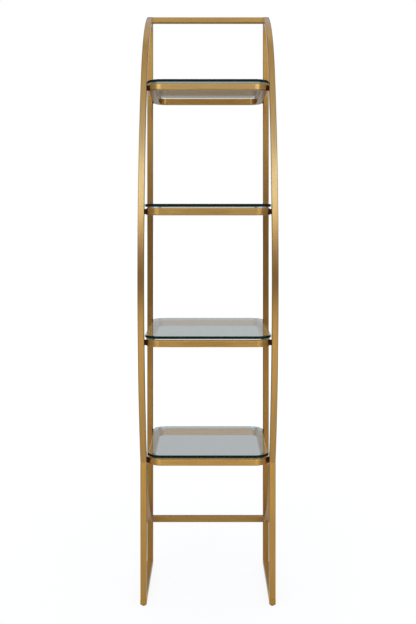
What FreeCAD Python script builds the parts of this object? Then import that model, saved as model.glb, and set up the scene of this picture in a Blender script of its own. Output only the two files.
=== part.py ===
"""Bow-front etagere: two side frames of square tube, two cross bars, four tube rings and four glass shelves.

Millimetres, +Z up, the front faces -Y, the origin lies on the floor under the middle of the overall box.
"""
import FreeCAD, Part
import math
import os
import Sketcher

V = FreeCAD.Vector
doc = FreeCAD.newDocument("etagere")

# Driving dimensions
SIZES = [
    ("overall_height", 1836.0, "floor to the top of the posts"),
    ("frame_width", 406.0, "across the outer faces of the side frames"),
    ("tube", 19.0, "side of the square frame tube"),
    ("tube_wall", 1.2, "wall of the frame tube"),
    ("tube_edge", 3.0, "outer edge radius of the frame tube"),
    ("bow_depth", 376.0, "front face of a post to the front of its bow"),
    ("crown_turn", 23.0, "degrees that the long middle bend of a bow turns each way"),
    ("end_turn", 71.1, "degrees off the upright at both ends of a bow"),
    ("lower_bar_height", 149.0, "floor to the underside of the lower cross bar, where the bows end"),
    ("leg_depth", 272.0, "front face of a post to the front face of its leg"),
    ("ring_tube", 20.0, "side of the square ring tube"),
    ("ring_wall", 1.2, "wall of the ring tube"),
    ("ring_edge", 3.0, "outer edge radius of the ring tube"),
    ("ring_corner", 42.0, "outer corner radius of a ring, seen from above"),
    ("ring_gap", 3.0, "side of a ring to the side frame"),
    ("ring_overhang", 20.0, "ring past the front of the bow and past the back of the post"),
    ("top_clearance", 257.0, "first glass to the top of the posts"),
    ("lowest_shelf", 460.5, "floor to the top of the last glass; the others are spread evenly between"),
    ("third_shelf_drop", 5.8, "third glass below its even place"),
    ("glass_thickness", 8.0, "float glass"),
    ("glass_overhang", 2.0, "edge of a glass past the edge of its ring"),
    ("glass_arris", 1.0, "ground bevel along the edges of a glass"),
    ("bumper_height", 4.0, "ring to glass"),
    ("bumper_width", 10.0, "diameter of a bumper"),
    ("bumper_bevel", 0.8, "bevel of a bumper's upper rim"),
    ("spacer_depth", 10.0, "front to back size of a spacer between ring and frame"),
    ("spacer_height", 15.0, "height of a spacer"),
    ("seat_gap", 0.1, "coped end to the curved face it sits on"),
    ("bolt_width", 6.0, "diameter of the bolts"),
    ("bolt_length", 18.0, "bolt below its head"),
    ("bolt_clearance", 0.2, "play round a bolt, on the radius"),
    ("head_width", 9.5, "diameter of a bolt head, which sits inside the frame tube"),
    ("head_height", 3.5, "height of a bolt head"),
    ("socket_width", 4.0, "across the flats of the hexagon socket in a bolt head"),
    ("socket_depth", 2.0, "depth of that socket"),
    ("access_hole", 10.5, "hole in the outer side of the frame through which a bolt goes in"),
    ("hole_cap_play", 0.1, "flush cap in an access hole, on the radius"),
    ("plug_length", 14.0, "threaded plug in a cross bar's end"),
    ("plug_play", 0.1, "plug to tube, each side"),
    ("cap_thickness", 2.0, "cap in an open tube end"),
    ("glide_width", 14.0, "diameter of a glide"),
    ("glide_height", 5.0, "height of a glide below the foot bar"),
    ("glide_bevel", 1.8, "bevel of a glide's lower rim"),
    ("glide_inset", 11.0, "end of the foot bar to the glide's axis"),
    ("stud_width", 6.0, "diameter of a glide's stud"),
    ("stud_length", 15.0, "stud above the glide"),
    ("nut_flats", 10.0, "across the flats of the nuts in the foot bars and rings"),
    ("nut_height", 5.0, "height of those nuts"),
    ("thread_play", 0.1, "thread in a nut, on the radius"),
]

sheet = doc.addObject("Spreadsheet::Sheet", "sizes")
for line, (alias, number, note) in enumerate(SIZES, start=1):
    sheet.set(f"A{line}", note)
    sheet.set(f"B{line}", str(number))
    sheet.setAlias(f"B{line}", alias)
doc.recompute()


def size(alias):
    """One driving dimension, read from the sheet."""
    return float(sheet.get(alias))


# Places that follow from the driving dimensions
tube = size("tube")
crown = math.radians(size("crown_turn"))
bow_end = math.radians(size("end_turn"))
bow_rise = (size("overall_height") - size("lower_bar_height")) / 2
bow_middle = size("lower_bar_height") + bow_rise
foot_top = size("glide_height") + tube
inner_half = size("frame_width") / 2 - tube
tube_middle = size("frame_width") / 2 - tube / 2
ring_half = inner_half - size("ring_gap")
bolt_hole = size("bolt_width") + 2 * size("bolt_clearance")
stud_hole = size("stud_width") + 2 * size("thread_play")
SIDES = {"left": -1, "right": 1}

# The crown and the two shoulders of a bow meet tangentially: both radii follow from its depth, rise and turns,
#   depth = R (1 - cos a) + r (cos a - cos b)   and   rise = R sin a + r (sin b - sin a)
crown_in = 1 - math.cos(crown)
end_in = math.cos(crown) - math.cos(bow_end)
crown_up = math.sin(crown)
end_up = math.sin(bow_end) - math.sin(crown)
share = crown_in * end_up - end_in * crown_up
crown_radius = (size("bow_depth") * end_up - bow_rise * end_in) / share
shoulder_radius = (bow_rise * crown_in - size("bow_depth") * crown_up) / share
crown_rise = crown_radius * crown_up
crown_drop = crown_radius * crown_in

# The same radii as expressions for the sketches
TURN = "(sizes.crown_turn * 1 deg)"
END = "(sizes.end_turn * 1 deg)"
RISE = "((sizes.overall_height - sizes.lower_bar_height) / 2)"
CROWN_IN = f"(1 - cos{TURN})"
END_IN = f"(cos{TURN} - cos{END})"
END_UP = f"(sin{END} - sin{TURN})"
SHARE = f"({CROWN_IN} * {END_UP} - {END_IN} * sin{TURN})"
CROWN_RADIUS = f"((sizes.bow_depth * {END_UP} - {RISE} * {END_IN}) / {SHARE})"
SHOULDER_RADIUS = f"(({RISE} * {CROWN_IN} - sizes.bow_depth * sin{TURN}) / {SHARE})"

# Shelf levels, from the first glass down
SHELVES = ("1", "2", "3", "4")
first_shelf = size("overall_height") - size("top_clearance")
shelf_pitch = (first_shelf - size("lowest_shelf")) / (len(SHELVES) - 1)
glass_tops = {name: first_shelf - shelf_pitch * SHELVES.index(name) for name in SHELVES}
glass_tops["3"] -= size("third_shelf_drop")


def bow_reach(height, inward=0.0):
    """Depth of the bow's front face, or of a line inside the tube, ahead of the post's front face."""
    rise = abs(height - bow_middle)
    if rise <= (crown_radius - inward) * math.sin(crown):
        return size("bow_depth") - crown_radius + math.sqrt((crown_radius - inward) ** 2 - rise ** 2)
    above = rise - crown_rise + shoulder_radius * math.sin(crown)
    centre = size("bow_depth") - crown_drop - shoulder_radius * math.cos(crown)
    return centre + math.sqrt((shoulder_radius - inward) ** 2 - above ** 2)


def ring_top(shelf):
    return glass_tops[shelf] - size("glass_thickness") - size("bumper_height")


def ring_middle(shelf):
    return ring_top(shelf) - size("ring_tube") / 2


def ring_reach(shelf):
    """Front edge of a ring, ahead of the posts' front face."""
    return bow_reach(ring_middle(shelf)) + size("ring_overhang")


rear_reach = tube + size("ring_overhang")
glass_front = max(ring_reach(shelf) for shelf in SHELVES) + size("glass_overhang")
glass_rear = rear_reach + size("glass_overhang")
post_front = (max(glass_front, size("bow_depth")) - glass_rear) / 2


def plane(body, role):
    """One of a body's own origin planes."""
    return next(item for item in body.Origin.OriginFeatures if item.Role == role)


def new_body(label):
    body = doc.addObject("PartDesign::Body", label)
    body.Label = label
    return body


def new_sketch(body, role, offset=0.0):
    """A sketch on an origin plane of its body, or on a plane parallel to it."""
    sketch = body.newObject("Sketcher::SketchObject", "sketch")
    sketch.AttachmentSupport = [(plane(body, role), "")]
    sketch.MapMode = "FlatFace"
    sketch.AttachmentOffset = FreeCAD.Placement(V(0, 0, offset), FreeCAD.Rotation())
    return sketch


def fix(sketch, kind, *where, expression):
    """Adds a dimension to a sketch and binds it to an expression."""
    index = sketch.addConstraint(Sketcher.Constraint(kind, *where))
    sketch.setExpression(f"Constraints[{index}]", expression)


def rounded_rectangle(sketch, width, depth, radius, names):
    """A rectangle about the sketch's origin with round corners; names holds the three expressions."""
    x = width / 2
    y = depth / 2
    r = radius
    runs = [(V(-x + r, -y), V(x - r, -y)), (V(x, -y + r), V(x, y - r)),
            (V(x - r, y), V(-x + r, y)), (V(-x, y - r), V(-x, -y + r))]
    centres = [V(x - r, -y + r), V(x - r, y - r), V(-x + r, y - r), V(-x + r, -y + r)]
    lines = [sketch.addGeometry(Part.LineSegment(start, end), False) for start, end in runs]
    arcs = []
    for quarter, centre in enumerate(centres):
        circle = Part.Circle(centre, V(0, 0, 1), r)
        start = (quarter - 1) * math.pi / 2
        arcs.append(sketch.addGeometry(Part.ArcOfCircle(circle, start, start + math.pi / 2), False))
    for corner in range(4):
        sketch.addConstraint(Sketcher.Constraint("Tangent", lines[corner], 2, arcs[corner], 1))
        sketch.addConstraint(Sketcher.Constraint("Tangent", arcs[corner], 2, lines[(corner + 1) % 4], 1))
    for index, line in enumerate(lines):
        sketch.addConstraint(Sketcher.Constraint("Vertical" if index % 2 else "Horizontal", line))
    for arc in arcs[1:]:
        sketch.addConstraint(Sketcher.Constraint("Equal", arcs[0], arc))
    sketch.addConstraint(Sketcher.Constraint("Symmetric", arcs[0], 3, arcs[2], 3, -1, 1))
    fix(sketch, "DistanceX", lines[3], 1, lines[1], 1, width, expression=names[0])
    fix(sketch, "DistanceY", lines[0], 1, lines[2], 1, depth, expression=names[1])
    fix(sketch, "Radius", arcs[0], r, expression=names[2])


def circle_at(sketch, x, y, diameter, expression):
    """A circle at a worked-out place with its diameter bound to the sheet."""
    item = sketch.addGeometry(Part.Circle(V(x, y, 0), V(0, 0, 1), diameter / 2), False)
    sketch.addConstraint(Sketcher.Constraint("DistanceX", -1, 1, item, 3, x))
    sketch.addConstraint(Sketcher.Constraint("DistanceY", -1, 1, item, 3, y))
    fix(sketch, "Diameter", item, diameter, expression=expression)


def pad(body, sketch, expression, middle=False, down=False):
    """Builds a sketch up along its normal, to both sides of its plane, or down."""
    feature = body.newObject("PartDesign::Pad", "pad")
    feature.Profile = sketch
    feature.Midplane = middle
    feature.Reversed = down
    feature.setExpression("Length", expression)
    doc.recompute()
    return feature


def pocket(body, sketch, expression, middle=True):
    """Cuts a sketch out of a body, to both sides of its plane or away from its normal."""
    before = body.Shape.Volume
    feature = body.newObject("PartDesign::Pocket", "pocket")
    feature.Profile = sketch
    feature.Midplane = middle
    feature.setExpression("Length", expression)
    doc.recompute()
    if body.Shape.Volume > before - 1e-6:
        raise RuntimeError(f"{body.Label}: a pocket cuts nothing")
    return feature


def edges_where(feature, test):
    return [f"Edge{n}" for n, edge in enumerate(feature.Shape.Edges, start=1) if test(edge)]


def fillet(body, feature, names, expression):
    item = body.newObject("PartDesign::Fillet", "fillet")
    item.Base = (feature, names)
    item.setExpression("Radius", expression)
    doc.recompute()
    return item


def bevel(body, feature, names, expression):
    item = body.newObject("PartDesign::Chamfer", "bevel")
    item.Base = (feature, names)
    item.setExpression("Size", expression)
    doc.recompute()
    return item


def straight_tube(label, length, expression):
    """A length of frame tube along the body's own Z, from its origin."""
    body = new_body(label)
    sketch = new_sketch(body, "XY_Plane")
    rounded_rectangle(sketch, tube, tube, size("tube_edge"), ("sizes.tube", "sizes.tube", "sizes.tube_edge"))
    bore = tube - 2 * size("tube_wall")
    corner = size("tube_edge") - size("tube_wall")
    rounded_rectangle(sketch, bore, bore, corner, ("sizes.tube - 2 * sizes.tube_wall",
                      "sizes.tube - 2 * sizes.tube_wall", "sizes.tube_edge - sizes.tube_wall"))
    pad(body, sketch, expression)
    return body


def bow_chain(sketch, offset, name):
    """The three tangent bends of a bow, at an offset inward from its front face; returns both end arcs."""
    radius = crown_radius
    bend = shoulder_radius
    middle = V(radius - size("bow_depth"), 0, 0)
    shift = V(-(radius - bend) * math.cos(crown), (radius - bend) * math.sin(crown), 0)
    upper_centre = middle + shift
    lower_centre = V(upper_centre.x, -upper_centre.y, 0)
    turn = math.acos(upper_centre.x / (bend - offset))
    rise = (radius - offset) * math.sin(crown)

    def arc(centre, length, start, end):
        circle = Part.Circle(centre, V(0, 0, 1), length)
        return sketch.addGeometry(Part.ArcOfCircle(circle, start, end), False)

    upper = arc(upper_centre, bend - offset, math.pi - turn, math.pi - crown)
    long = arc(middle, radius - offset, math.pi - crown, math.pi + crown)
    lower = arc(lower_centre, bend - offset, math.pi + crown, math.pi + turn)
    sketch.addConstraint(Sketcher.Constraint("Tangent", upper, 2, long, 1))
    sketch.addConstraint(Sketcher.Constraint("Tangent", long, 2, lower, 1))
    sketch.addConstraint(Sketcher.Constraint("PointOnObject", long, 3, -1))
    sketch.addConstraint(Sketcher.Constraint("PointOnObject", upper, 1, -2))
    sketch.addConstraint(Sketcher.Constraint("PointOnObject", lower, 2, -2))
    fix(sketch, "DistanceX", -1, 1, long, 3, middle.x, expression=f"{CROWN_RADIUS} - sizes.bow_depth")
    fix(sketch, "Radius", long, radius - offset, expression=f"{CROWN_RADIUS} - ({name})")
    fix(sketch, "Radius", upper, bend - offset, expression=f"{SHOULDER_RADIUS} - ({name})")
    fix(sketch, "Radius", lower, bend - offset, expression=f"{SHOULDER_RADIUS} - ({name})")
    turned = f"({CROWN_RADIUS} - ({name})) * sin{TURN}"
    fix(sketch, "DistanceY", -1, 1, long, 1, rise, expression=turned)
    fix(sketch, "DistanceY", long, 2, -1, 1, rise, expression=turned)
    return upper, lower


def join(sketch, first, first_end, second, second_end, start, end):
    """A straight line between two ends of the bends, along the post's front face."""
    line = sketch.addGeometry(Part.LineSegment(V(0, start, 0), V(0, end, 0)), False)
    sketch.addConstraint(Sketcher.Constraint("Coincident", line, 1, first, first_end))
    sketch.addConstraint(Sketcher.Constraint("Coincident", line, 2, second, second_end))


def end_rise(offset):
    """Height of a bow's end above the middle of the bow, at an offset inward from its front face."""
    bend = shoulder_radius
    centre = crown_radius - size("bow_depth") - (crown_radius - bend) * math.cos(crown)
    turn = math.acos(centre / (bend - offset))
    return (crown_radius - bend) * math.sin(crown) + (bend - offset) * math.sin(turn)


def band(sketch, outer, inner, outer_name, inner_name):
    """The closed outline between two offsets of a bow."""
    upper, lower = bow_chain(sketch, outer, outer_name)
    upper_in, lower_in = bow_chain(sketch, inner, inner_name)
    join(sketch, upper, 1, upper_in, 1, end_rise(outer), end_rise(inner))
    join(sketch, lower, 2, lower_in, 2, -end_rise(outer), -end_rise(inner))


def box_at(sketch, x, y, width, depth, names):
    """A plain rectangle about a worked-out middle; names holds the expressions of its two sizes."""
    points = [V(x - width / 2, y - depth / 2), V(x + width / 2, y - depth / 2),
              V(x + width / 2, y + depth / 2), V(x - width / 2, y + depth / 2)]
    lines = [sketch.addGeometry(Part.LineSegment(points[n], points[(n + 1) % 4]), False) for n in range(4)]
    for n in range(4):
        sketch.addConstraint(Sketcher.Constraint("Coincident", lines[n], 2, lines[(n + 1) % 4], 1))
        sketch.addConstraint(Sketcher.Constraint("Vertical" if n % 2 else "Horizontal", lines[n]))
    sketch.addConstraint(Sketcher.Constraint("DistanceX", -1, 1, lines[0], 1, points[0].x))
    sketch.addConstraint(Sketcher.Constraint("DistanceY", -1, 1, lines[0], 1, points[0].y))
    fix(sketch, "DistanceX", lines[0], 1, lines[0], 2, width, expression=names[0])
    fix(sketch, "DistanceY", lines[1], 1, lines[1], 2, depth, expression=names[1])


def hexagon(sketch, flats, expression):
    """A regular hexagon about the sketch's origin, by its width across the flats."""
    radius = flats / math.sqrt(3)
    circle = sketch.addGeometry(Part.Circle(V(0, 0, 0), V(0, 0, 1), radius), True)
    sketch.addConstraint(Sketcher.Constraint("Coincident", circle, 3, -1, 1))
    corners = [V(radius * math.cos(n * math.pi / 3), radius * math.sin(n * math.pi / 3), 0) for n in range(6)]
    lines = [sketch.addGeometry(Part.LineSegment(corners[n], corners[(n + 1) % 6]), False) for n in range(6)]
    for n in range(6):
        sketch.addConstraint(Sketcher.Constraint("Coincident", lines[n], 2, lines[(n + 1) % 6], 1))
        sketch.addConstraint(Sketcher.Constraint("PointOnObject", lines[n], 1, circle))
    for line in lines[1:]:
        sketch.addConstraint(Sketcher.Constraint("Equal", lines[0], line))
    sketch.addConstraint(Sketcher.Constraint("Horizontal", lines[1]))
    fix(sketch, "Diameter", circle, 2 * radius, expression=f"2 * {expression} / sqrt(3)")


def drill(body, side, places):
    """Bolt holes in the inner wall of an upright frame tube and access holes in its outer wall."""
    walls = {-side: (bolt_hole, HOLE), side: (size("access_hole"), "sizes.access_hole")}
    for wall, (diameter, expression) in walls.items():
        holes = new_sketch(body, "YZ_Plane", wall * (tube - size("tube_wall")) / 2)
        for along, height in places:
            circle_at(holes, along, height, diameter, expression)
        pocket(body, holes, "3 * sizes.tube_wall")


def place(item, x, y, z, rotation=FreeCAD.Rotation()):
    item.Placement = FreeCAD.Placement(V(x, y, z), rotation)
    return item


def group(label, template, places):
    """Several separate copies of one small piece under one name."""
    copies = []
    for placement in places:
        link = doc.addObject("App::Link", "copy")
        link.LinkedObject = template
        link.Placement = placement
        copies.append(link)
    item = doc.addObject("Part::Compound", label)
    item.Links = copies
    item.Label = label
    return item


ALONG_FRONT = FreeCAD.Rotation(V(1, 0, 0), 90)
ALONG_RIGHT = FreeCAD.Rotation(V(0, 1, 0), 90)
ALONG_LEFT = FreeCAD.Rotation(V(0, 1, 0), -90)
OUTWARD = {-1: ALONG_LEFT, 1: ALONG_RIGHT}
HOLE = "sizes.bolt_width + 2 * sizes.bolt_clearance"
STUD_HOLE = "sizes.stud_width + 2 * sizes.thread_play"
nodes = {}

# Side frames: rear post, bow, front leg and foot bar
bar_heights = {"top": size("overall_height") - tube / 2, "lower": size("lower_bar_height") + tube / 2}
for name, side in SIDES.items():
    x = side * tube_middle

    post = straight_tube(f"{name}_rear_post", size("overall_height") - foot_top,
                         "sizes.overall_height - sizes.glide_height - sizes.tube")
    heights = [ring_middle(shelf) for shelf in SHELVES] + list(bar_heights.values())
    drill(post, side, [(0, height - foot_top) for height in heights])
    nodes[post.Label] = place(post, x, post_front + tube / 2, foot_top)

    bow = new_body(f"{name}_bow")
    outline = new_sketch(bow, "YZ_Plane")
    band(outline, 0, tube, "0 * sizes.tube", "sizes.tube")
    bent = pad(bow, outline, "sizes.tube", middle=True)
    rims = edges_where(bent, lambda edge: isinstance(edge.Curve, Part.Circle))
    fillet(bow, bent, rims, "sizes.tube_edge")
    bore = new_sketch(bow, "YZ_Plane")
    band(bore, size("tube_wall"), tube - size("tube_wall"), "sizes.tube_wall", "sizes.tube - sizes.tube_wall")
    pocket(bow, bore, "sizes.tube - 2 * sizes.tube_wall")
    heights = [ring_middle(shelf) for shelf in SHELVES]
    drill(bow, side, [(-bow_reach(height, tube / 2), height - bow_middle) for height in heights])
    nodes[bow.Label] = place(bow, x, post_front, bow_middle)

    stock = straight_tube(f"{name}_leg_stock", bow_middle - foot_top,
                          f"{bow_middle} - sizes.glide_height - sizes.tube")
    place(stock, x, post_front - size("leg_depth") + tube / 2, foot_top)
    cope = new_body(f"{name}_leg_cope")
    outline = new_sketch(cope, "YZ_Plane")
    gap = -size("seat_gap")
    upper, lower = bow_chain(outline, gap, "-sizes.seat_gap")
    join(outline, upper, 1, lower, 2, end_rise(gap), -end_rise(gap))
    pad(cope, outline, "2 * sizes.tube", middle=True)
    place(cope, x, post_front, bow_middle)
    leg = doc.addObject("Part::Cut", f"{name}_front_leg")
    leg.Base = stock
    leg.Tool = cope
    leg.Label = f"{name}_front_leg"
    nodes[leg.Label] = leg

    foot = straight_tube(f"{name}_foot_bar", size("leg_depth") + tube, "sizes.leg_depth + sizes.tube")
    holes = new_sketch(foot, "XZ_Plane", tube / 2 - size("tube_wall") / 2)
    for along in (size("glide_inset"), size("leg_depth") + tube - size("glide_inset")):
        circle_at(holes, 0, along, stud_hole, STUD_HOLE)
    pocket(foot, holes, "3 * sizes.tube_wall")
    nodes[foot.Label] = place(foot, x, post_front + tube, size("glide_height") + tube / 2, ALONG_FRONT)

# Cross bars, their threaded plugs and the caps of the open tube ends
for name, height in bar_heights.items():
    bar = straight_tube(f"{name}_cross_bar", 2 * inner_half, "sizes.frame_width - 2 * sizes.tube")
    nodes[bar.Label] = place(bar, -inner_half, post_front + tube / 2, height, ALONG_RIGHT)

PLUG = "sizes.tube - 2 * sizes.tube_wall - 2 * sizes.plug_play"
plug_side = tube - 2 * size("tube_wall") - 2 * size("plug_play")
plug_corner = size("tube_edge") - size("tube_wall")


def tube_filler(label, expression, drilled):
    """A piece that fills the bore of the frame tube, along its own Z."""
    body = new_body(label)
    sketch = new_sketch(body, "XY_Plane")
    rounded_rectangle(sketch, plug_side, plug_side, plug_corner, (PLUG, PLUG, "sizes.tube_edge - sizes.tube_wall"))
    if drilled:
        circle_at(sketch, 0, 0, bolt_hole, HOLE)
    pad(body, sketch, expression)
    return body


plug = tube_filler("plug", "sizes.plug_length", True)
plugs = []
for height in bar_heights.values():
    for side in SIDES.values():
        where = V(side * (inner_half - size("plug_length")), post_front + tube / 2, height)
        plugs.append(FreeCAD.Placement(where, OUTWARD[side]))
nodes["bar_plugs"] = group("bar_plugs", plug, plugs)

cap = tube_filler("cap", "sizes.cap_thickness", False)
post_caps = []
foot_caps = []
for side in SIDES.values():
    x = side * tube_middle
    top = V(x, post_front + tube / 2, size("overall_height") - size("cap_thickness"))
    post_caps.append(FreeCAD.Placement(top, FreeCAD.Rotation()))
    height = size("glide_height") + tube / 2
    for y in (post_front + tube, post_front - size("leg_depth") + size("cap_thickness")):
        foot_caps.append(FreeCAD.Placement(V(x, y, height), ALONG_FRONT))
nodes["post_caps"] = group("post_caps", cap, post_caps)
nodes["foot_bar_caps"] = group("foot_bar_caps", cap, foot_caps)

# Shelf rings, spacers, bumpers and glass
RING_WIDTH = "(sizes.frame_width - 2 * sizes.tube - 2 * sizes.ring_gap)"
bumper = new_body("bumper")
sketch = new_sketch(bumper, "XY_Plane")
circle_at(sketch, 0, 0, size("bumper_width"), "sizes.bumper_width")
disc = pad(bumper, sketch, "sizes.bumper_height")
rim = edges_where(disc, lambda edge: edge.BoundBox.ZMin > size("bumper_height") / 2)
bevel(bumper, disc, rim, "sizes.bumper_bevel")
bumpers = []
bolt_lines = []
ring_nuts = []

for shelf in SHELVES:
    reach = ring_reach(shelf)
    depth = reach + rear_reach
    y_middle = post_front + (rear_reach - reach) / 2
    corner = size("ring_corner")
    side_wall = size("ring_tube")
    wall = size("ring_wall")
    frame_lines = {"bow": post_front - bow_reach(ring_middle(shelf), tube / 2), "post": post_front + tube / 2}

    def ring_outline(sketch, inset, name):
        """The outline of this ring, at an inset from its outer side."""
        rounded_rectangle(sketch, 2 * (ring_half - inset), depth - 2 * inset, corner - inset,
                          (f"{RING_WIDTH} - 2 * ({name})", f"{depth} - 2 * ({name})",
                           f"sizes.ring_corner - ({name})"))

    ring = new_body(f"shelf_ring_{shelf}")
    sketch = new_sketch(ring, "XY_Plane")
    ring_outline(sketch, 0, "0 * sizes.ring_tube")
    ring_outline(sketch, side_wall, "sizes.ring_tube")
    solid = pad(ring, sketch, "sizes.ring_tube", middle=True)
    rims = edges_where(solid, lambda edge: edge.BoundBox.ZLength < 1e-6)
    fillet(ring, solid, rims, "sizes.ring_edge")
    sketch = new_sketch(ring, "XY_Plane")
    ring_outline(sketch, wall, "sizes.ring_wall")
    ring_outline(sketch, side_wall - wall, "sizes.ring_tube - sizes.ring_wall")
    pocket(ring, sketch, "sizes.ring_tube - 2 * sizes.ring_wall")
    for side in SIDES.values():
        holes = new_sketch(ring, "YZ_Plane", side * (ring_half - 0.3 * side_wall))
        for y in frame_lines.values():
            circle_at(holes, y - y_middle, 0, bolt_hole, HOLE)
        pocket(ring, holes, "0.7 * sizes.ring_tube")
    nodes[ring.Label] = place(ring, 0, y_middle, ring_middle(shelf))

    spacers = new_body(f"ring_spacers_{shelf}")
    sketch = new_sketch(spacers, "XY_Plane")
    width = size("ring_gap") + corner
    for side in SIDES.values():
        for y in frame_lines.values():
            box_at(sketch, side * (inner_half - width / 2), y - y_middle, width, size("spacer_depth"),
                   ("sizes.ring_gap + sizes.ring_corner", "sizes.spacer_depth"))
    pad(spacers, sketch, "sizes.spacer_height", middle=True)
    sketch = new_sketch(spacers, "XY_Plane")
    ring_outline(sketch, -size("seat_gap"), "-sizes.seat_gap")
    pocket(spacers, sketch, "2 * sizes.spacer_height")
    holes = new_sketch(spacers, "YZ_Plane")
    for y in frame_lines.values():
        circle_at(holes, y - y_middle, 0, bolt_hole, HOLE)
    pocket(spacers, holes, "2 * sizes.frame_width")
    nodes[spacers.Label] = place(spacers, 0, y_middle, ring_middle(shelf))

    glass = new_body(f"glass_shelf_{shelf}")
    sketch = new_sketch(glass, "XY_Plane")
    ring_outline(sketch, -size("glass_overhang"), "-sizes.glass_overhang")
    pane = pad(glass, sketch, "sizes.glass_thickness")
    bevel(glass, pane, edges_where(pane, lambda edge: edge.BoundBox.ZLength < 1e-6), "sizes.glass_arris")
    nodes[glass.Label] = place(glass, 0, y_middle, ring_top(shelf) + size("bumper_height"))

    across = (corner - side_wall / 2) * math.sqrt(0.5)
    for side in SIDES.values():
        for end in (-1, 1):
            where = V(side * (ring_half - corner + across),
                      y_middle + end * (depth / 2 - corner + across), ring_top(shelf))
            bumpers.append(FreeCAD.Placement(where, FreeCAD.Rotation()))
        for y in frame_lines.values():
            bolt_lines.append((side, y, ring_middle(shelf)))
            edge = depth / 2 - abs(y - y_middle) - size("nut_flats") / math.sqrt(3)
            into = max(corner - edge, 0)
            seat = ring_half - corner + math.sqrt((corner - wall) ** 2 - into ** 2) - size("seat_gap")
            where = V(side * (seat - size("nut_height")), y, ring_middle(shelf))
            ring_nuts.append(FreeCAD.Placement(where, OUTWARD[side]))
nodes["glass_bumpers"] = group("glass_bumpers", bumper, bumpers)

# Bolts of the rings and of the cross bars, and the flush caps of their access holes
bolt = new_body("bolt")
sketch = new_sketch(bolt, "XY_Plane")
circle_at(sketch, 0, 0, size("head_width"), "sizes.head_width")
pad(bolt, sketch, "sizes.head_height")
sketch = new_sketch(bolt, "XY_Plane")
circle_at(sketch, 0, 0, size("bolt_width"), "sizes.bolt_width")
pad(bolt, sketch, "sizes.bolt_length", down=True)
sketch = new_sketch(bolt, "XY_Plane", size("head_height"))
hexagon(sketch, size("socket_width"), "sizes.socket_width")
pocket(bolt, sketch, "sizes.socket_depth", middle=False)
hole_cap = new_body("hole_cap")
sketch = new_sketch(hole_cap, "XY_Plane")
circle_at(sketch, 0, 0, size("access_hole") - 2 * size("hole_cap_play"),
          "sizes.access_hole - 2 * sizes.hole_cap_play")
pad(hole_cap, sketch, "sizes.tube_wall")
for height in bar_heights.values():
    for side in SIDES.values():
        bolt_lines.append((side, post_front + tube / 2, height))
bolts = []
hole_caps = []
for side, y, height in bolt_lines:
    seat = V(side * (inner_half + size("tube_wall")), y, height)
    bolts.append(FreeCAD.Placement(seat, OUTWARD[side]))
    mouth = V(side * (size("frame_width") / 2 - size("tube_wall")), y, height)
    hole_caps.append(FreeCAD.Placement(mouth, OUTWARD[side]))
nodes["frame_bolts"] = group("frame_bolts", bolt, bolts)
nodes["hole_caps"] = group("hole_caps", hole_cap, hole_caps)

# Levelling glides and the nuts that hold them
nut = new_body("nut")
sketch = new_sketch(nut, "XY_Plane")
hexagon(sketch, size("nut_flats"), "sizes.nut_flats")
circle_at(sketch, 0, 0, stud_hole, STUD_HOLE)
pad(nut, sketch, "sizes.nut_height")
nodes["ring_nuts"] = group("ring_nuts", nut, ring_nuts)
nuts = []
for name, side in SIDES.items():
    ends = {"front": post_front - size("leg_depth") + size("glide_inset"),
            "rear": post_front + tube - size("glide_inset")}
    for end, y in ends.items():
        glide = new_body(f"{name}_{end}_glide")
        sketch = new_sketch(glide, "XY_Plane")
        circle_at(sketch, 0, 0, size("glide_width"), "sizes.glide_width")
        disc = pad(glide, sketch, "sizes.glide_height")
        rim = edges_where(disc, lambda edge: edge.BoundBox.ZMax < size("glide_height") / 2)
        bevel(glide, disc, rim, "sizes.glide_bevel")
        sketch = new_sketch(glide, "XY_Plane", size("glide_height"))
        circle_at(sketch, 0, 0, size("stud_width"), "sizes.stud_width")
        pad(glide, sketch, "sizes.stud_length")
        nodes[glide.Label] = place(glide, side * tube_middle, y, 0)
        seat = size("glide_height") + size("tube_wall")
        nuts.append(FreeCAD.Placement(V(side * tube_middle, y, seat), FreeCAD.Rotation()))
nodes["glide_nuts"] = group("glide_nuts", nut, nuts)

doc.recompute()
for item in doc.Objects:
    if "Invalid" in item.State or "Error" in item.State:
        raise RuntimeError(f"{item.Label}: {item.State}")

os.makedirs("parts", exist_ok=True)
for label, item in nodes.items():
    shape = item.Shape
    if shape.isNull() or not shape.isValid():
        raise RuntimeError(f"{label}: bad shape")
    shape.exportStep(f"parts/{label}.step")
    box = shape.BoundBox
    print(f"{label}: {len(shape.Solids)} solids, {shape.Volume:.0f} mm3, "
          f"x {box.XMin:.1f} {box.XMax:.1f} y {box.YMin:.1f} {box.YMax:.1f} z {box.ZMin:.1f} {box.ZMax:.1f}")
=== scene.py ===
"""Studio view of a bow-front etagere: brushed brass square tube, clear glass shelves, dark nylon spacers.

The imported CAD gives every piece. The bows and the shelf rings are drawn again here as smooth swept tubes,
so that their curved faces reflect cleanly and the brushing follows the bends.
"""
import math

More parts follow.
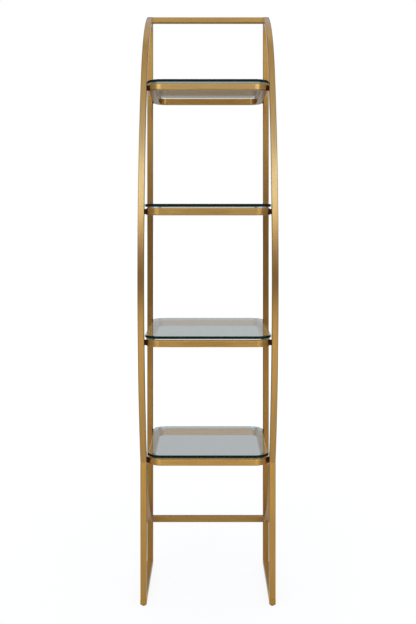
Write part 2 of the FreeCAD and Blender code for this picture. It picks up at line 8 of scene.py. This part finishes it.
import bpy
import numpy as np
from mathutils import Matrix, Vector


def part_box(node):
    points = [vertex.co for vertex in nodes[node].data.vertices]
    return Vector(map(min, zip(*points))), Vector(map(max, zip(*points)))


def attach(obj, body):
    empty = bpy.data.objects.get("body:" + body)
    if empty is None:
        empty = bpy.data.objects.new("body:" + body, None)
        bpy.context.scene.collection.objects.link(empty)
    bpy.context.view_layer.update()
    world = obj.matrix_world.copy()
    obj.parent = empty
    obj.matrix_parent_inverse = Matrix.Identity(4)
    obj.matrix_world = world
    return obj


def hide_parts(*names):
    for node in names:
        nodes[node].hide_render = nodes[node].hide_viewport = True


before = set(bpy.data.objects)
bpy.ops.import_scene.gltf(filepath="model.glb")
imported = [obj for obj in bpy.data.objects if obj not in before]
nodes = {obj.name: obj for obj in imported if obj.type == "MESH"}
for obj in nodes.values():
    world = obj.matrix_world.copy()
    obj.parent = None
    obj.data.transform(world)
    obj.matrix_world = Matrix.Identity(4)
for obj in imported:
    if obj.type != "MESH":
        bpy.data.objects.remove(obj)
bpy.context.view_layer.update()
scene = bpy.context.scene

SIDES = ("left", "right")
SHELVES = "1234"

# Sizes in metres, as in the part's source
HEIGHT = 1.836
LOWER_BAR = 0.149
TUBE = 0.019
TUBE_EDGE = 0.003
BOW_DEPTH = 0.376
CROWN_TURN = math.radians(23.0)
END_TURN = math.radians(71.1)
RING_TUBE = 0.020
RING_EDGE = 0.003
RING_CORNER = 0.042
POST_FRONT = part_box("left_rear_post")[0].y

# Steps along a bow, the share of them on its crown, and steps round a ring's corner and a tube's edge
BOW_STEPS = 240
CROWN_SHARE = 0.62
CORNER_STEPS = 20
EDGE_STEPS = 6

# Brushing in metres: real lines are about 0.1 mm apart, too fine for the render, so they are drawn wider
BRUSH_LENGTH = 0.090
BRUSH_SPACING = 0.0016
WEAR_SIZE = 0.045

# Grain and clouds of the other materials, in metres
GROUND_GRAIN = 0.0015
NYLON_GRAIN = 0.0006
PAD_CLOUD = 0.004
ZINC_CLOUD = 0.003

# Darkest and lightest tone of the brushing. All are one brass: the plain pair is its colour, and the others
# are copies tuned to the light on their pieces. The post pair and the pair for the lower bar and foot bars
# are darker, painted shade; the ring pair is lighter, painted light; the bar pair has less green and blue,
# set against the cool band of light that the top bar reflects; the bow pair has a little more blue.
PLAIN_TONES = ("#BA8930", "#D4A549")
PAINTED_SHADE_TONES = ("#A57724", "#BC903A")
POST_TONES = ("#A3711C", "#B9892D")
BAR_TONES = ("#B67F18", "#D19A2C")
BOW_TONES = ("#BA893B", "#D4A554")
RING_TONES = ("#C58F36", "#E0AD4F")

# Refractive indices, and the upward part of a normal below which a face belongs to the glass's edge
GLASS_INDEX = 1.52
PLASTIC_INDEX = 1.53
EDGE_LIMIT = 0.4


def linear(code):
    """sRGB hex to linear red, green, blue and alpha: ((c + 0.055) / 1.055) ^ 2.4, or c / 12.92 when dark."""
    steps = [int(code[i:i + 2], 16) / 255 for i in (1, 3, 5)]
    return tuple(c / 12.92 if c <= 0.04045 else ((c + 0.055) / 1.055) ** 2.4 for c in steps) + (1.0,)


def add(tree, kind, inputs=None, **settings):
    """Adds one node, sets its properties, and sets or links its input sockets."""
    item = tree.nodes.new(kind)
    for key, value in settings.items():
        setattr(item, key, value)
    for key, value in (inputs or {}).items():
        if isinstance(value, bpy.types.NodeSocket):
            tree.links.new(value, item.inputs[key])
        else:
            item.inputs[key].default_value = value
    return item


def new_material(name):
    """An empty node material and its tree."""
    material = bpy.data.materials.new(name)
    material.use_nodes = True
    material.node_tree.nodes.clear()
    return material, material.node_tree


def brushed_brass(name, source, along, tones):
    """Brass-plated steel tube, brushed along its length and lacquered.

    Fine lines run with the tube and spread the reflections across it, so the metal is rougher that way. The
    clear lacquer adds a soft white sheen, and turns the tube pale where it is seen along its face.
    """
    material, tree = new_material(name)
    place = add(tree, "ShaderNodeTexCoord").outputs[source]
    if source == "UV":
        tangent = add(tree, "ShaderNodeTangent", direction_type="UV_MAP", uv_map="along_tube")
        with_tube = tangent.outputs["Tangent"]
    else:
        axis = {letter: 1.0 if letter in along else 0.0 for letter in "XYZ"}
        with_tube = add(tree, "ShaderNodeCombineXYZ", axis).outputs["Vector"]
    stretch = tuple(1 / BRUSH_LENGTH if letter in along else 1 / BRUSH_SPACING for letter in "XYZ")
    lines = add(tree, "ShaderNodeMapping", {"Vector": place, "Scale": stretch})
    streak = add(tree, "ShaderNodeTexNoise", {
        "Vector": lines.outputs["Vector"], "Scale": 1.0, "Detail": 3.0, "Roughness": 0.6})
    cloud = add(tree, "ShaderNodeTexNoise", {"Vector": place, "Scale": 1 / WEAR_SIZE, "Detail": 3.0})
    tone = add(tree, "ShaderNodeMapRange", {
        "Value": streak.outputs["Fac"], "From Min": 0.3, "From Max": 0.7, "To Min": 0.0, "To Max": 1.0})
    dark, light = tones
    colour = add(tree, "ShaderNodeMix", {
        "Factor": tone.outputs["Result"], "A": linear(dark), "B": linear(light)}, data_type="RGBA")
    worn = add(tree, "ShaderNodeMath", {0: streak.outputs["Fac"], 1: cloud.outputs["Fac"]}, operation="ADD")
    rough = add(tree, "ShaderNodeMapRange", {
        "Value": worn.outputs["Value"], "From Min": 0.6, "From Max": 1.4, "To Min": 0.26, "To Max": 0.36})
    bump = add(tree, "ShaderNodeBump", {
        "Height": streak.outputs["Fac"], "Strength": 0.05, "Distance": 0.0004})
    skin = add(tree, "ShaderNodeBsdfPrincipled", {
        "Base Color": colour.outputs["Result"], "Metallic": 1.0, "Roughness": rough.outputs["Result"],
        "Anisotropic": 0.75, "Anisotropic Rotation": 0.25, "Tangent": with_tube,
        "Normal": bump.outputs["Normal"], "Coat Weight": 1.0, "Coat Roughness": 0.3})
    add(tree, "ShaderNodeOutputMaterial", {"Surface": skin.outputs["BSDF"]})
    return material


def float_glass(name):
    """Clear float glass; its ground edge looks dark green, because light runs far inside the sheet to get
    there.

    The tint is absorption: 10 mm let through 0.91 of the red and about 0.94 of the green and the blue. The
    edge, where the normal lies flat, is clear from inside the sheet; from outside it is an opaque satin dark
    green, painted shade that stands in for the light lost on that long path.
    """
    material, tree = new_material(name)
    facing = add(tree, "ShaderNodeTexCoord").outputs["Normal"]
    upward = add(tree, "ShaderNodeSeparateXYZ", {"Vector": facing}).outputs["Z"]
    steep = add(tree, "ShaderNodeMath", {0: upward}, operation="ABSOLUTE").outputs["Value"]
    upright = add(tree, "ShaderNodeMath", {0: steep, 1: EDGE_LIMIT}, operation="LESS_THAN").outputs["Value"]
    inside = add(tree, "ShaderNodeNewGeometry").outputs["Backfacing"]
    edge = add(tree, "ShaderNodeMath", {0: upright, 1: inside}, operation="SUBTRACT", use_clamp=True)
    sheet = add(tree, "ShaderNodeBsdfPrincipled", {
        "Base Color": linear("#FFFFFF"), "Roughness": 0.0, "IOR": GLASS_INDEX, "Transmission Weight": 1.0})
    place = add(tree, "ShaderNodeTexCoord").outputs["Object"]
    grain = add(tree, "ShaderNodeTexNoise", {"Vector": place, "Scale": 1 / GROUND_GRAIN, "Detail": 2.0})
    # Painted shade: the edge's dark green seen from outside, in place of light lost inside the sheet
    tone = add(tree, "ShaderNodeMix", {
        "Factor": grain.outputs["Fac"], "A": linear("#0A2416"), "B": linear("#112D1D")}, data_type="RGBA")
    ground = add(tree, "ShaderNodeBsdfPrincipled", {
        "Base Color": tone.outputs["Result"], "Roughness": 0.35, "IOR": GLASS_INDEX,
        "Specular IOR Level": 0.04})
    skin = add(tree, "ShaderNodeMixShader", {
        0: edge.outputs["Value"], 1: sheet.outputs["BSDF"], 2: ground.outputs["BSDF"]})
    depth = add(tree, "ShaderNodeVolumeAbsorption", {"Color": linear("#27A297"), "Density": 10.0})
    add(tree, "ShaderNodeOutputMaterial", {
        "Surface": skin.outputs["Shader"], "Volume": depth.outputs["Volume"]})
    return material


def moulded_nylon(name, dark, light, rough_low, rough_high, shine):
    """Moulded nylon with a fine spark-eroded grain in two tones, which leaves it almost dull."""
    material, tree = new_material(name)
    place = add(tree, "ShaderNodeTexCoord").outputs["Object"]
    grain = add(tree, "ShaderNodeTexNoise", {"Vector": place, "Scale": 1 / NYLON_GRAIN, "Detail": 3.0})
    colour = add(tree, "ShaderNodeMix", {
        "Factor": grain.outputs["Fac"], "A": linear(dark), "B": linear(light)}, data_type="RGBA")
    rough = add(tree, "ShaderNodeMapRange", {
        "Value": grain.outputs["Fac"], "To Min": rough_low, "To Max": rough_high})
    bump = add(tree, "ShaderNodeBump", {
        "Height": grain.outputs["Fac"], "Strength": 0.15, "Distance": 0.0002})
    skin = add(tree, "ShaderNodeBsdfPrincipled", {
        "Base Color": colour.outputs["Result"], "Roughness": rough.outputs["Result"], "IOR": PLASTIC_INDEX,
        "Specular IOR Level": shine, "Normal": bump.outputs["Normal"]})
    add(tree, "ShaderNodeOutputMaterial", {"Surface": skin.outputs["BSDF"]})
    return material


def clear_pad(name):
    """Clear soft PVC bumper: see-through, slightly milky in small clouds."""
    material, tree = new_material(name)
    place = add(tree, "ShaderNodeTexCoord").outputs["Object"]
    cloud = add(tree, "ShaderNodeTexNoise", {"Vector": place, "Scale": 1 / PAD_CLOUD, "Detail": 2.0})
    rough = add(tree, "ShaderNodeMapRange", {"Value": cloud.outputs["Fac"], "To Min": 0.15, "To Max": 0.3})
    skin = add(tree, "ShaderNodeBsdfPrincipled", {
        "Base Color": linear("#EEF0EE"), "Roughness": rough.outputs["Result"], "IOR": PLASTIC_INDEX,
        "Transmission Weight": 0.85})
    add(tree, "ShaderNodeOutputMaterial", {"Surface": skin.outputs["BSDF"]})
    return material


def zinc_steel(name):
    """Zinc-plated steel: pale grey metal with a slightly uneven shine."""
    material, tree = new_material(name)
    place = add(tree, "ShaderNodeTexCoord").outputs["Object"]
    cloud = add(tree, "ShaderNodeTexNoise", {"Vector": place, "Scale": 1 / ZINC_CLOUD, "Detail": 3.0})
    rough = add(tree, "ShaderNodeMapRange", {"Value": cloud.outputs["Fac"], "To Min": 0.3, "To Max": 0.5})
    skin = add(tree, "ShaderNodeBsdfPrincipled", {
        "Base Color": linear("#B9BAB6"), "Metallic": 1.0, "Roughness": rough.outputs["Result"]})
    add(tree, "ShaderNodeOutputMaterial", {"Surface": skin.outputs["BSDF"]})
    return material


BRASS_LEG = brushed_brass("brass_brushed_upright", "Object", "Z", PLAIN_TONES)
# Rear posts: a darker copy of the brass, painted shade
BRASS_POST = brushed_brass("brass_brushed_upright_painted_shade", "Object", "Z", POST_TONES)
# Top bar and caps: less green and blue, set against the cool light that the top bar reflects
BRASS_TOP_BAR = brushed_brass("brass_brushed_across", "Object", "X", BAR_TONES)
# Lower bar and foot bars: a darker copy of the brass, painted shade
BRASS_LOWER_BAR = brushed_brass("brass_brushed_across_painted_shade", "Object", "X", PAINTED_SHADE_TONES)
BRASS_FOOT_BAR = brushed_brass("brass_brushed_front_to_back", "Object", "Y", PAINTED_SHADE_TONES)
BRASS_BOW = brushed_brass("brass_brushed_along_bend", "UV", "X", BOW_TONES)
# Rings: a lighter copy of the brass, painted light
BRASS_RING = brushed_brass("brass_brushed_round_ring", "UV", "X", RING_TONES)
GLASS = float_glass("float_glass_ground_edge")
# Spacers: real parts, but their dark brown is painted shade of the narrow gaps between ring and frame
SPACER = moulded_nylon("nylon_spacer_painted_gap_shade", "#2E1709", "#3B1F0F", 0.55, 0.7, 0.05)
GLIDE = moulded_nylon("nylon_moulded_black", "#060606", "#101010", 0.5, 0.65, 0.1)
BUMPER = clear_pad("pvc_clear_bumper")
STEEL = zinc_steel("steel_zinc_plated")


def dress(material, *names):
    """Gives CAD nodes one material in all their slots."""
    for name in names:
        mesh = nodes[name].data
        if not mesh.materials:
            mesh.materials.append(material)
        for index in range(len(mesh.materials)):
            mesh.materials[index] = material


for side in SIDES:
    dress(BRASS_POST, f"{side}_rear_post")
    dress(BRASS_LEG, f"{side}_front_leg")
    dress(BRASS_FOOT_BAR, f"{side}_foot_bar")
    dress(GLIDE, f"{side}_front_glide", f"{side}_rear_glide")
dress(BRASS_TOP_BAR, "top_cross_bar", "post_caps", "foot_bar_caps", "hole_caps")
dress(BRASS_LOWER_BAR, "lower_cross_bar")
dress(STEEL, "frame_bolts", "bar_plugs", "ring_nuts", "glide_nuts")
dress(BUMPER, "glass_bumpers")
for shelf in SHELVES:
    dress(GLASS, f"glass_shelf_{shelf}")
    dress(SPACER, f"ring_spacers_{shelf}")


def rounded_square(side, radius):
    """Outline of a square with round corners about 0, 0: points, outward normals and distance run, closed.

    Corner k is centred at (+-c, +-c), c = side / 2 - radius, and runs a quarter turn from k * 90 degrees.
    """
    turn = np.linspace(0, math.pi / 2, EDGE_STEPS + 1)
    angle = (np.arange(4)[:, None] * math.pi / 2 + turn[None, :]).ravel()
    middle = (side / 2 - radius) * math.sqrt(2)
    corner = np.repeat(np.arange(4) * math.pi / 2 + math.pi / 4, EDGE_STEPS + 1)
    normal = np.stack([np.cos(angle), np.sin(angle)], axis=1)
    point = middle * np.stack([np.cos(corner), np.sin(corner)], axis=1) + radius * normal
    run = np.concatenate([[0], np.cumsum(np.linalg.norm(np.roll(point, -1, axis=0) - point, axis=1))])
    return point, normal, run


def swept_mesh(name, points, normals, run_along, run_around, closed, material):
    """A tube from a grid of points, rows along it and columns around it.

    Each cell of the grid is a quad with the exact normals, and the UV map holds metres run along and around.
    An open tube also gets two flat ends with points of their own, which face back against the post.
    """
    rows, columns, _ = points.shape
    last_row = rows if closed else rows - 1
    row, column = np.meshgrid(np.arange(last_row), np.arange(columns), indexing="ij")
    corners = [(row, column), (row + 1, column), (row + 1, column + 1), (row, column + 1)]
    faces = np.stack([(r % rows) * columns + c % columns for r, c in corners], axis=-1).reshape(-1, 4)
    runs = [np.stack([run_along[r], run_around[c]], axis=-1) for r, c in corners]
    grid_map = np.stack(runs, axis=2).reshape(-1, 2)
    vertices = points.reshape(-1, 3)
    facing = normals.reshape(-1, 3)
    ends = []
    if not closed:
        first_end = rows * columns + np.arange(columns)
        ends = [first_end[::-1].tolist(), (first_end + columns).tolist()]
        vertices = np.concatenate([vertices, points[0], points[-1]])
        facing = np.concatenate([facing, np.tile([0.0, 1.0, 0.0], (2 * columns, 1))])
    mesh = bpy.data.meshes.new(name)
    mesh.from_pydata(vertices.tolist(), [], faces.tolist() + ends)
    layer = mesh.uv_layers.new(name="along_tube")
    whole_map = np.zeros((len(mesh.loops), 2), np.float32)
    whole_map[:len(grid_map)] = grid_map
    layer.data.foreach_set("uv", whole_map.ravel())
    mesh.polygons.foreach_set("use_smooth", np.ones(len(mesh.polygons), bool))
    mesh.normals_split_custom_set_from_vertices(facing.tolist())
    mesh.materials.append(material)
    mesh.validate()
    item = bpy.data.objects.new(name, mesh)
    scene.collection.objects.link(item)
    return item


def bow_tube(side):
    """A bow: the square profile carried along three tangent arcs in the plane of the side frame.

    The crown has radius R and turns by a to each side, the shoulders have radius r and turn on to b. R and r
    follow from the depth d and half the height h: d = R (1 - cos a) + r (cos a - cos b) and
    h = R sin a + r (sin b - sin a). A fibre at depth o under the front face has radii R - o and r - o about
    the same centres, and ends at the post's front face. t runs from -1 at its lower to 1 at its upper end.
    """
    rise = (HEIGHT - LOWER_BAR) / 2
    a, b = CROWN_TURN, END_TURN
    share = (1 - math.cos(a)) * (math.sin(b) - math.sin(a)) - (math.cos(a) - math.cos(b)) * math.sin(a)
    big = (BOW_DEPTH * (math.sin(b) - math.sin(a)) - rise * (math.cos(a) - math.cos(b))) / share
    small = (rise * (1 - math.cos(a)) - BOW_DEPTH * math.sin(a)) / share
    section, flat_normal, run_around = rounded_square(TUBE, TUBE_EDGE)
    t = np.linspace(-1, 1, BOW_STEPS + 1)[:, None]
    depth = (TUBE / 2 - section[:, 1])[None, :]
    crown_back = big - BOW_DEPTH
    shoulder_back = crown_back - (big - small) * math.cos(a)
    shoulder_up = (big - small) * math.sin(a)
    last = np.arccos(shoulder_back / (small - depth))
    on_crown = np.abs(t) <= CROWN_SHARE
    past_crown = (np.abs(t) - CROWN_SHARE) / (1 - CROWN_SHARE)
    turn = np.where(on_crown, np.abs(t) / CROWN_SHARE * a, a + past_crown * (last - a))
    radius = np.where(on_crown, big, small) - depth
    back = np.where(on_crown, crown_back, shoulder_back)
    up = np.where(on_crown, 0.0, shoulder_up)
    sign = np.sign(t) + (t == 0)
    y = POST_FRONT + back - radius * np.cos(turn)
    z = LOWER_BAR + rise + sign * (up + radius * np.sin(turn))
    low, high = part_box(f"{side}_bow")
    x = (low.x + high.x) / 2 + np.broadcast_to(section[:, 0][None, :], y.shape)
    out = flat_normal[:, 1][None, :]
    normals = np.stack([np.broadcast_to(flat_normal[:, 0][None, :], y.shape),
                        -out * np.cos(turn), out * sign * np.sin(turn)], axis=-1)
    line = np.stack([y[:, 0], z[:, 0]], axis=1)
    run_along = np.concatenate([[0], np.cumsum(np.linalg.norm(np.diff(line, axis=0), axis=1))])
    points = np.stack([x, y, z], axis=-1)
    name = f"{side}_bow_brushed"
    piece = swept_mesh(name, points, normals, run_along, run_around, False, BRASS_BOW)
    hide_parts(f"{side}_bow")
    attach(piece, "frame")


def ring_tube(shelf):
    """A shelf ring: the square profile carried round a rectangle with round corners of radius R.

    A fibre at depth o inside the outer face runs on the rectangle drawn in by o: about each corner's centre
    (x, y) it is (x + (R - o) cos u, y + (R - o) sin u), u a quarter turn, joined by straight sides.
    """
    low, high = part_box(f"shelf_ring_{shelf}")
    section, flat_normal, run_around = rounded_square(RING_TUBE, RING_EDGE)
    turn = np.linspace(0, math.pi / 2, CORNER_STEPS + 1)
    angle = (np.arange(4)[:, None] * math.pi / 2 + turn[None, :]).ravel()[:, None]
    quarter = np.repeat(np.arange(4), CORNER_STEPS + 1)[:, None]
    centre_x = np.where((quarter == 0) | (quarter == 3), high.x - RING_CORNER, low.x + RING_CORNER)
    centre_y = np.where(quarter <= 1, high.y - RING_CORNER, low.y + RING_CORNER)
    inward = (RING_TUBE / 2 - section[:, 1])[None, :]
    x = centre_x + (RING_CORNER - inward) * np.cos(angle)
    y = centre_y + (RING_CORNER - inward) * np.sin(angle)
    z = (low.z + high.z) / 2 - np.broadcast_to(section[:, 0][None, :], x.shape)
    out = flat_normal[:, 1][None, :]
    normals = np.stack([out * np.cos(angle), out * np.sin(angle),
                        -np.broadcast_to(flat_normal[:, 0][None, :], x.shape)], axis=-1)
    line = np.stack([x[:, 0], y[:, 0]], axis=1)
    steps = np.linalg.norm(np.roll(line, -1, axis=0) - line, axis=1)
    run_along = np.concatenate([[0], np.cumsum(steps)])
    points = np.stack([x, y, z], axis=-1)
    name = f"shelf_ring_{shelf}_brushed"
    piece = swept_mesh(name, points, normals, run_along, run_around, True, BRASS_RING)
    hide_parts(f"shelf_ring_{shelf}")
    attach(piece, "frame")


for side in SIDES:
    bow_tube(side)
for shelf in SHELVES:
    ring_tube(shelf)

# Studio: its white, the grey that the glass shows and the paler grey that the metal shows; the floor's reach
# in metres, and the lamps in metres and watts
WHITE = linear("#FFFFFF")
STUDIO_GREY = linear("#AEB2B4")
STUDIO_PALE = linear("#CACDCE")
FLOOR_REACH = 60.0
LAMP_PLACE = (3.5, -7.2, 3.9)
LAMP_TARGET = (0.0, 0.0, 1.1)
LAMP_WIDTH = 5.0
LAMP_HEIGHT = 3.7
LAMP_POWER = 95.0
LAMP_COLOUR = linear("#D0DEFF")

# Camera, fitted to the photograph: metres in front of the posts and above the floor, pixels of the frame
CAMERA_AWAY = 2.671
CAMERA_HEIGHT = 1.167
FRAME_HEIGHT = 624
FOCAL_LENGTH = 800
HORIZON_ROW = 217.5


def gradient(tree, value, stops):
    """A colour that follows a value: stops are (value, grey level or colour), from the lowest value up."""
    low, high = stops[0][0], stops[-1][0]
    share = add(tree, "ShaderNodeMapRange", {"Value": value, "From Min": low, "From Max": high})
    item = add(tree, "ShaderNodeValToRGB", {"Fac": share.outputs["Result"]})
    marks = item.color_ramp.elements
    for _ in stops[2:]:
        marks.new(0.5)
    for mark, (at, shown) in zip(marks, stops):
        mark.position = (at - low) / (high - low)
        mark.color = shown if isinstance(shown, tuple) else (shown, shown, shown, 1.0)
    return item.outputs["Color"]


def bearing(tree, axes):
    """Degrees from straight ahead of the object: 0 at the front, 180 at the back, alike to both sides."""
    ahead = add(tree, "ShaderNodeMath", {0: axes["Y"], 1: -1.0}, operation="MULTIPLY").outputs["Value"]
    turned = add(tree, "ShaderNodeMath", {0: axes["X"], 1: ahead}, operation="ARCTAN2").outputs["Value"]
    either = add(tree, "ShaderNodeMath", {0: turned}, operation="ABSOLUTE").outputs["Value"]
    return add(tree, "ShaderNodeMath", {0: either}, operation="DEGREES").outputs["Value"]


def paper_sweep(name):
    """Pale paper floor: white to the camera, apart from the shadow near the object.

    Through the glass it is the studio's grey. In the metal it glows with painted light and shade rather than
    being lit: a painted pool of light in front, where the lamps would light it, brightest left and right of
    straight ahead, dim and warm far ahead, darker to the sides, and painted shade behind the object.
    """
    material, tree = new_material(name)
    ray = add(tree, "ShaderNodeLightPath").outputs
    place = add(tree, "ShaderNodeTexCoord").outputs["Object"]
    axes = add(tree, "ShaderNodeSeparateXYZ", {"Vector": place}).outputs
    away = add(tree, "ShaderNodeVectorMath", {0: place}, operation="LENGTH").outputs["Value"]

    # Painted light on the floor as the metal sees it: brightest a few metres in front, dim and warm far ahead
    near = gradient(tree, axes["Y"], [
        (-8.0, linear("#837969")), (-6.5, linear("#868073")), (-5.3, 0.44), (-4.0, 0.60), (-2.6, 0.78),
        (-1.7, 0.78), (-1.0, 0.72), (-0.6, 0.68), (-0.15, 0.62), (0.3, 0.62)])
    # Painted shade behind the object, as the metal sees the floor
    shade = gradient(tree, axes["Y"], [(0.4, 0.45), (2.0, 0.5), (6.0, 0.6), (12.0, 0.6)])
    shaded = add(tree, "ShaderNodeVectorMath", {0: STUDIO_PALE[:3], 1: shade}, operation="MULTIPLY")
    far = add(tree, "ShaderNodeMix", {
        "Factor": ray["Is Transmission Ray"], "A": shaded.outputs["Vector"], "B": STUDIO_GREY},
        data_type="RGBA")
    behind = add(tree, "ShaderNodeMapRange", {"Value": axes["Y"], "From Min": 0.1, "From Max": 0.4})
    pale = add(tree, "ShaderNodeMix", {
        "Factor": behind.outputs["Result"], "A": near, "B": far.outputs["Result"]}, data_type="RGBA")
    # Painted pools of light left and right of straight ahead, and darker to the sides
    turned = gradient(tree, bearing(tree, axes), [
        (0, 0.80), (5, 0.88), (9, 1.12), (13, 1.4), (25, 1.4), (37, 0.9), (60, 0.5), (120, 0.5), (150, 1.0),
        (180, 1.0)])
    off = add(tree, "ShaderNodeMapRange", {"Value": away, "From Min": 0.6, "From Max": 1.6})
    sides = add(tree, "ShaderNodeMix", {
        "Factor": off.outputs["Result"], "A": WHITE, "B": turned}, data_type="RGBA")
    shown = add(tree, "ShaderNodeVectorMath", {
        0: pale.outputs["Result"], 1: sides.outputs["Result"]}, operation="MULTIPLY")
    mirrored = add(tree, "ShaderNodeEmission", {"Color": shown.outputs["Vector"], "Strength": 1.0})

    white = gradient(tree, away, [(0.0, 0.88), (1.0, 0.90), (4.0, 1.0), (6.0, 1.0)])
    bright = add(tree, "ShaderNodeEmission", {"Color": white, "Strength": ray["Is Camera Ray"]})
    matte = add(tree, "ShaderNodeBsdfDiffuse", {"Color": linear("#76736E")})
    seen = add(tree, "ShaderNodeAddShader", {0: matte.outputs["BSDF"], 1: bright.outputs["Emission"]})
    paper = add(tree, "ShaderNodeBsdfDiffuse", {"Color": linear("#E6E6E4")})
    direct = add(tree, "ShaderNodeMixShader", {
        0: ray["Is Camera Ray"], 1: paper.outputs["BSDF"], 2: seen.outputs["Shader"]})
    polished = add(tree, "ShaderNodeMath", {
        0: ray["Is Glossy Ray"], 1: ray["Is Transmission Ray"]}, operation="MAXIMUM")
    both = add(tree, "ShaderNodeMixShader", {
        0: polished.outputs["Value"], 1: direct.outputs["Shader"], 2: mirrored.outputs["Emission"]})
    add(tree, "ShaderNodeOutputMaterial", {"Surface": both.outputs["Shader"]})
    return material


def studio_floor(name, material):
    """One square of floor, wide enough to reach the horizon."""
    mesh = bpy.data.meshes.new(name)
    square = FLOOR_REACH * np.array([(-1, -1, 0), (1, -1, 0), (1, 1, 0), (-1, 1, 0)])
    mesh.from_pydata(square.tolist(), [], [(0, 1, 2, 3)])
    mesh.materials.append(material)
    floor = bpy.data.objects.new(name, mesh)
    scene.collection.objects.link(floor)


def studio_world(name):
    """White to the camera; to metal and glass the walls of a studio, by height and bearing.

    In front, a bright cool band stands above a dim warm horizon; sharp reflections in glass show it untinted.
    Behind is a pale wall with a darker strip under a bright ceiling, and seen through the glass it is the
    studio's grey. The front gives way to the back between 70 and 110 degrees, and the sides are darker. A
    height is the upward part of the direction: 0 at the horizon, 1 overhead.
    """
    world = bpy.data.worlds.new(name)
    scene.world = world
    world.use_nodes = True
    tree = world.node_tree
    tree.nodes.clear()
    ray = add(tree, "ShaderNodeLightPath").outputs
    direction = add(tree, "ShaderNodeTexCoord").outputs["Generated"]
    axes = add(tree, "ShaderNodeSeparateXYZ", {"Vector": direction}).outputs

    level = gradient(tree, axes["Z"], [
        (0.0, 0.28), (0.05, 0.33), (0.10, 0.46), (0.16, 0.69), (0.26, 0.86), (0.355, 0.90), (0.44, 0.82),
        (0.62, 0.81), (0.77, 0.67), (0.93, 0.68), (1.0, 0.82)])
    tint = gradient(tree, axes["Z"], [
        (0.0, (1.0, 0.84, 0.59, 1.0)), (0.10, (1.0, 0.98, 0.93, 1.0)), (0.21, (1.0, 1.09, 1.29, 1.0)),
        (0.355, (1.0, 1.5, 3.05, 1.0)), (0.53, (1.0, 1.23, 1.85, 1.0)), (0.77, (1.0, 1.06, 1.16, 1.0)),
        (1.0, WHITE)])
    band = add(tree, "ShaderNodeVectorMath", {0: level, 1: tint}, operation="MULTIPLY")
    front = add(tree, "ShaderNodeMix", {
        "Factor": ray["Is Singular Ray"], "A": band.outputs["Vector"], "B": level}, data_type="RGBA")

    ceiling = gradient(tree, axes["Z"], [
        (0.0, 1.0), (0.30, 1.0), (0.36, 0.40), (0.46, 0.42), (0.60, 0.88), (0.75, 1.0), (0.88, 1.0),
        (0.97, 1.4), (1.0, 1.4)])
    dim = gradient(tree, axes["Z"], [
        (0.0, 1.0), (0.06, 1.0), (0.16, 0.7), (0.20, 0.7), (0.25, 1.0), (1.0, 1.0)])
    pale = add(tree, "ShaderNodeVectorMath", {0: STUDIO_PALE[:3], 1: ceiling}, operation="MULTIPLY")
    grey = add(tree, "ShaderNodeVectorMath", {0: STUDIO_GREY[:3], 1: dim}, operation="MULTIPLY")
    rear = add(tree, "ShaderNodeMix", {
        "Factor": ray["Is Transmission Ray"], "A": pale.outputs["Vector"], "B": grey.outputs["Vector"]},
        data_type="RGBA")

    around = bearing(tree, axes)
    turned = add(tree, "ShaderNodeMapRange", {"Value": around, "From Min": 70.0, "From Max": 110.0})
    walls = add(tree, "ShaderNodeMix", {
        "Factor": turned.outputs["Result"], "A": front.outputs["Result"], "B": rear.outputs["Result"]},
        data_type="RGBA")
    sides = gradient(tree, around, [(0, 1.0), (37, 1.0), (60, 0.6), (120, 0.6), (150, 1.0), (180, 1.0)])
    studio = add(tree, "ShaderNodeVectorMath", {0: walls.outputs["Result"], 1: sides}, operation="MULTIPLY")
    blank = add(tree, "ShaderNodeMix", {
        "Factor": ray["Is Camera Ray"], "A": studio.outputs["Vector"], "B": WHITE}, data_type="RGBA")
    light = add(tree, "ShaderNodeBackground", {"Color": blank.outputs["Result"], "Strength": 1.0})
    add(tree, "ShaderNodeOutputWorld", {"Surface": light.outputs["Background"]})


def softbox(name, place):
    """A rectangular area lamp at a place, facing the middle of the object."""
    lamp = bpy.data.lights.new(name, "AREA")
    lamp.shape = "RECTANGLE"
    lamp.size = LAMP_WIDTH
    lamp.size_y = LAMP_HEIGHT
    lamp.energy = LAMP_POWER
    lamp.color = LAMP_COLOUR[:3]
    item = bpy.data.objects.new(name, lamp)
    item.location = place
    aim = np.array(LAMP_TARGET) - np.array(place)
    item.rotation_euler = (math.atan2(np.hypot(aim[0], aim[1]), -aim[2]), 0, math.atan2(-aim[0], aim[1]))
    scene.collection.objects.link(item)


def level_camera(name):
    """A level camera in front of the object, shifted down so that the horizon lies above the middle."""
    lens = bpy.data.cameras.new(name)
    lens.sensor_width = 36.0
    lens.lens = lens.sensor_width * FOCAL_LENGTH / FRAME_HEIGHT
    lens.shift_y = (HORIZON_ROW - FRAME_HEIGHT / 2) / FRAME_HEIGHT
    camera = bpy.data.objects.new(name, lens)
    camera.location = (0.0, POST_FRONT - CAMERA_AWAY, CAMERA_HEIGHT)
    camera.rotation_euler = (math.pi / 2, 0, 0)
    scene.collection.objects.link(camera)
    scene.camera = camera


studio_floor("studio_floor", paper_sweep("paper_sweep_pale"))
studio_world("studio")
lamp_x, lamp_y, lamp_z = LAMP_PLACE
softbox("softbox_left", (-lamp_x, lamp_y, lamp_z))
softbox("softbox_right", LAMP_PLACE)
level_camera("camera")
scene.view_settings.view_transform = "Standard"
